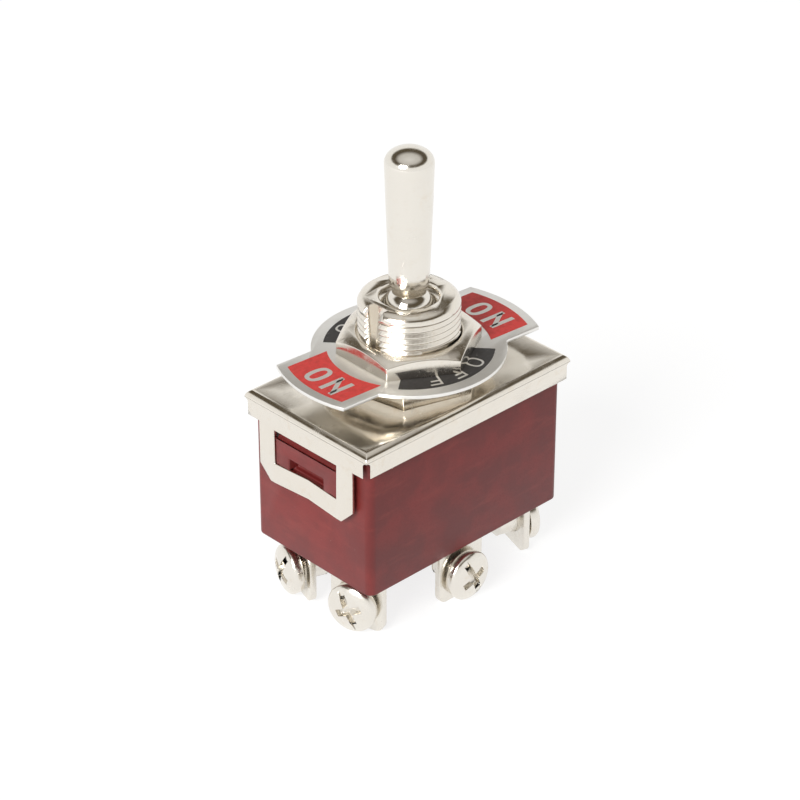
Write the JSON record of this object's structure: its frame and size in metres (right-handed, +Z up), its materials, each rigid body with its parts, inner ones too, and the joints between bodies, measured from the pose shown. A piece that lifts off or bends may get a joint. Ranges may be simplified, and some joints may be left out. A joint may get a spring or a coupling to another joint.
{
  "type": "panel toggle switch",
  "caption": "Panel-mount toggle switch: bat lever in a threaded bushing with nuts and an ON-OFF legend plate, pressed cover on a moulded case, screw terminals below.",
  "frame": {"origin": "on the bushing's axis, at the level of the terminals' tips that the switch stands on", "axes": "+Z up along the bushing and lever, +X along the case, in the plane in which the lever tilts, with the keyway on the -X side"},
  "size_m": [0.033, 0.0228, 0.0559],
  "materials": {
    "phenolic": "satin moulded maroon phenolic",
    "fibre": "matt vulcanised fibre",
    "nickel_sheet": "bright nickel-plated pressed steel, warm",
    "nickel_turned": "bright nickel plate on turned brass",
    "nickel_nut": "nickel plate on brass, light tool marks",
    "nickel_lever": "bright nickel plate on turned brass",
    "nickel_terminal": "nickel-plated stamped brass",
    "nickel_screw": "nickel-plated steel",
    "plate_aluminium": "satin aluminium with printed red and black fields",
    "steel_inner": "plain steel",
    "carrier_plastic": "matt black moulded plastic",
    "brass_inner": "plain turned brass",
    "copper_inner": "plain stamped copper alloy",
    "silver_contact": "silver alloy"
  },
  "bodies": {
    "housing": {"case": "phenolic", "insulator": "fibre", "cover": "nickel_sheet", "bushing": "nickel_turned", "lower_nut": "nickel_nut", "lock_washer": "nickel_nut", "legend_plate": "plate_aluminium", "top_nut": "nickel_nut", "terminal_left_front": "nickel_terminal", "terminal_left_back": "nickel_terminal", "terminal_right_front": "nickel_terminal", "terminal_right_back": "nickel_terminal", "terminal_mid_front": "nickel_terminal", "terminal_mid_back": "nickel_terminal", "fixed_rivets": "silver_contact", "screw_left_front": "nickel_screw", "screw_left_back": "nickel_screw", "screw_right_front": "nickel_screw", "screw_right_back": "nickel_screw", "screw_mid_front": "nickel_screw", "screw_mid_back": "nickel_screw"},
    "lever": {"lever": "nickel_lever", "pivot_pin": "steel_inner", "carrier": "carrier_plastic", "spring_front": "steel_inner", "spring_back": "steel_inner"},
    "plunger_front": {"plunger_front": "brass_inner"},
    "plunger_back": {"plunger_back": "brass_inner"},
    "rocker_front": {"rocker_front": "copper_inner", "rocker_rivets_front": "silver_contact"},
    "rocker_back": {"rocker_back": "copper_inner", "rocker_rivets_back": "silver_contact"}
  },
  "joints": [
    {"name": "lever_tilt", "type": "hinge", "parent": "housing", "child": "lever", "pos_m": [0, 0, 0.0353], "axis": [0, 1, 0], "range_deg": [-12, 12]},
    {"name": "plunger_front_slide", "type": "slide", "parent": "lever", "child": "plunger_front", "axis": [0, 0, 1], "range_m": [0, 0.0015], "stiffness_N_per_m": 800, "springref_m": -0.003, "deforming": ["spring_front"]},
    {"name": "plunger_back_slide", "type": "slide", "parent": "lever", "child": "plunger_back", "axis": [0, 0, 1], "range_m": [0, 0.0015], "stiffness_N_per_m": 800, "springref_m": -0.003, "deforming": ["spring_back"]},
    {"name": "rocker_front_tilt", "type": "hinge", "parent": "housing", "child": "rocker_front", "pos_m": [0, -0.00465, 0.01256], "axis": [0, 1, 0], "range_deg": [-9.2, 9.2]},
    {"name": "rocker_back_tilt", "type": "hinge", "parent": "housing", "child": "rocker_back", "pos_m": [0, 0.00465, 0.01256], "axis": [0, 1, 0], "range_deg": [-9.2, 9.2]}
  ],
  "couplings": [
    {"joint": "rocker_front_tilt", "follows": "lever_tilt", "ratio": -0.75},
    {"joint": "rocker_back_tilt", "follows": "lever_tilt", "ratio": -0.75}
  ]
}
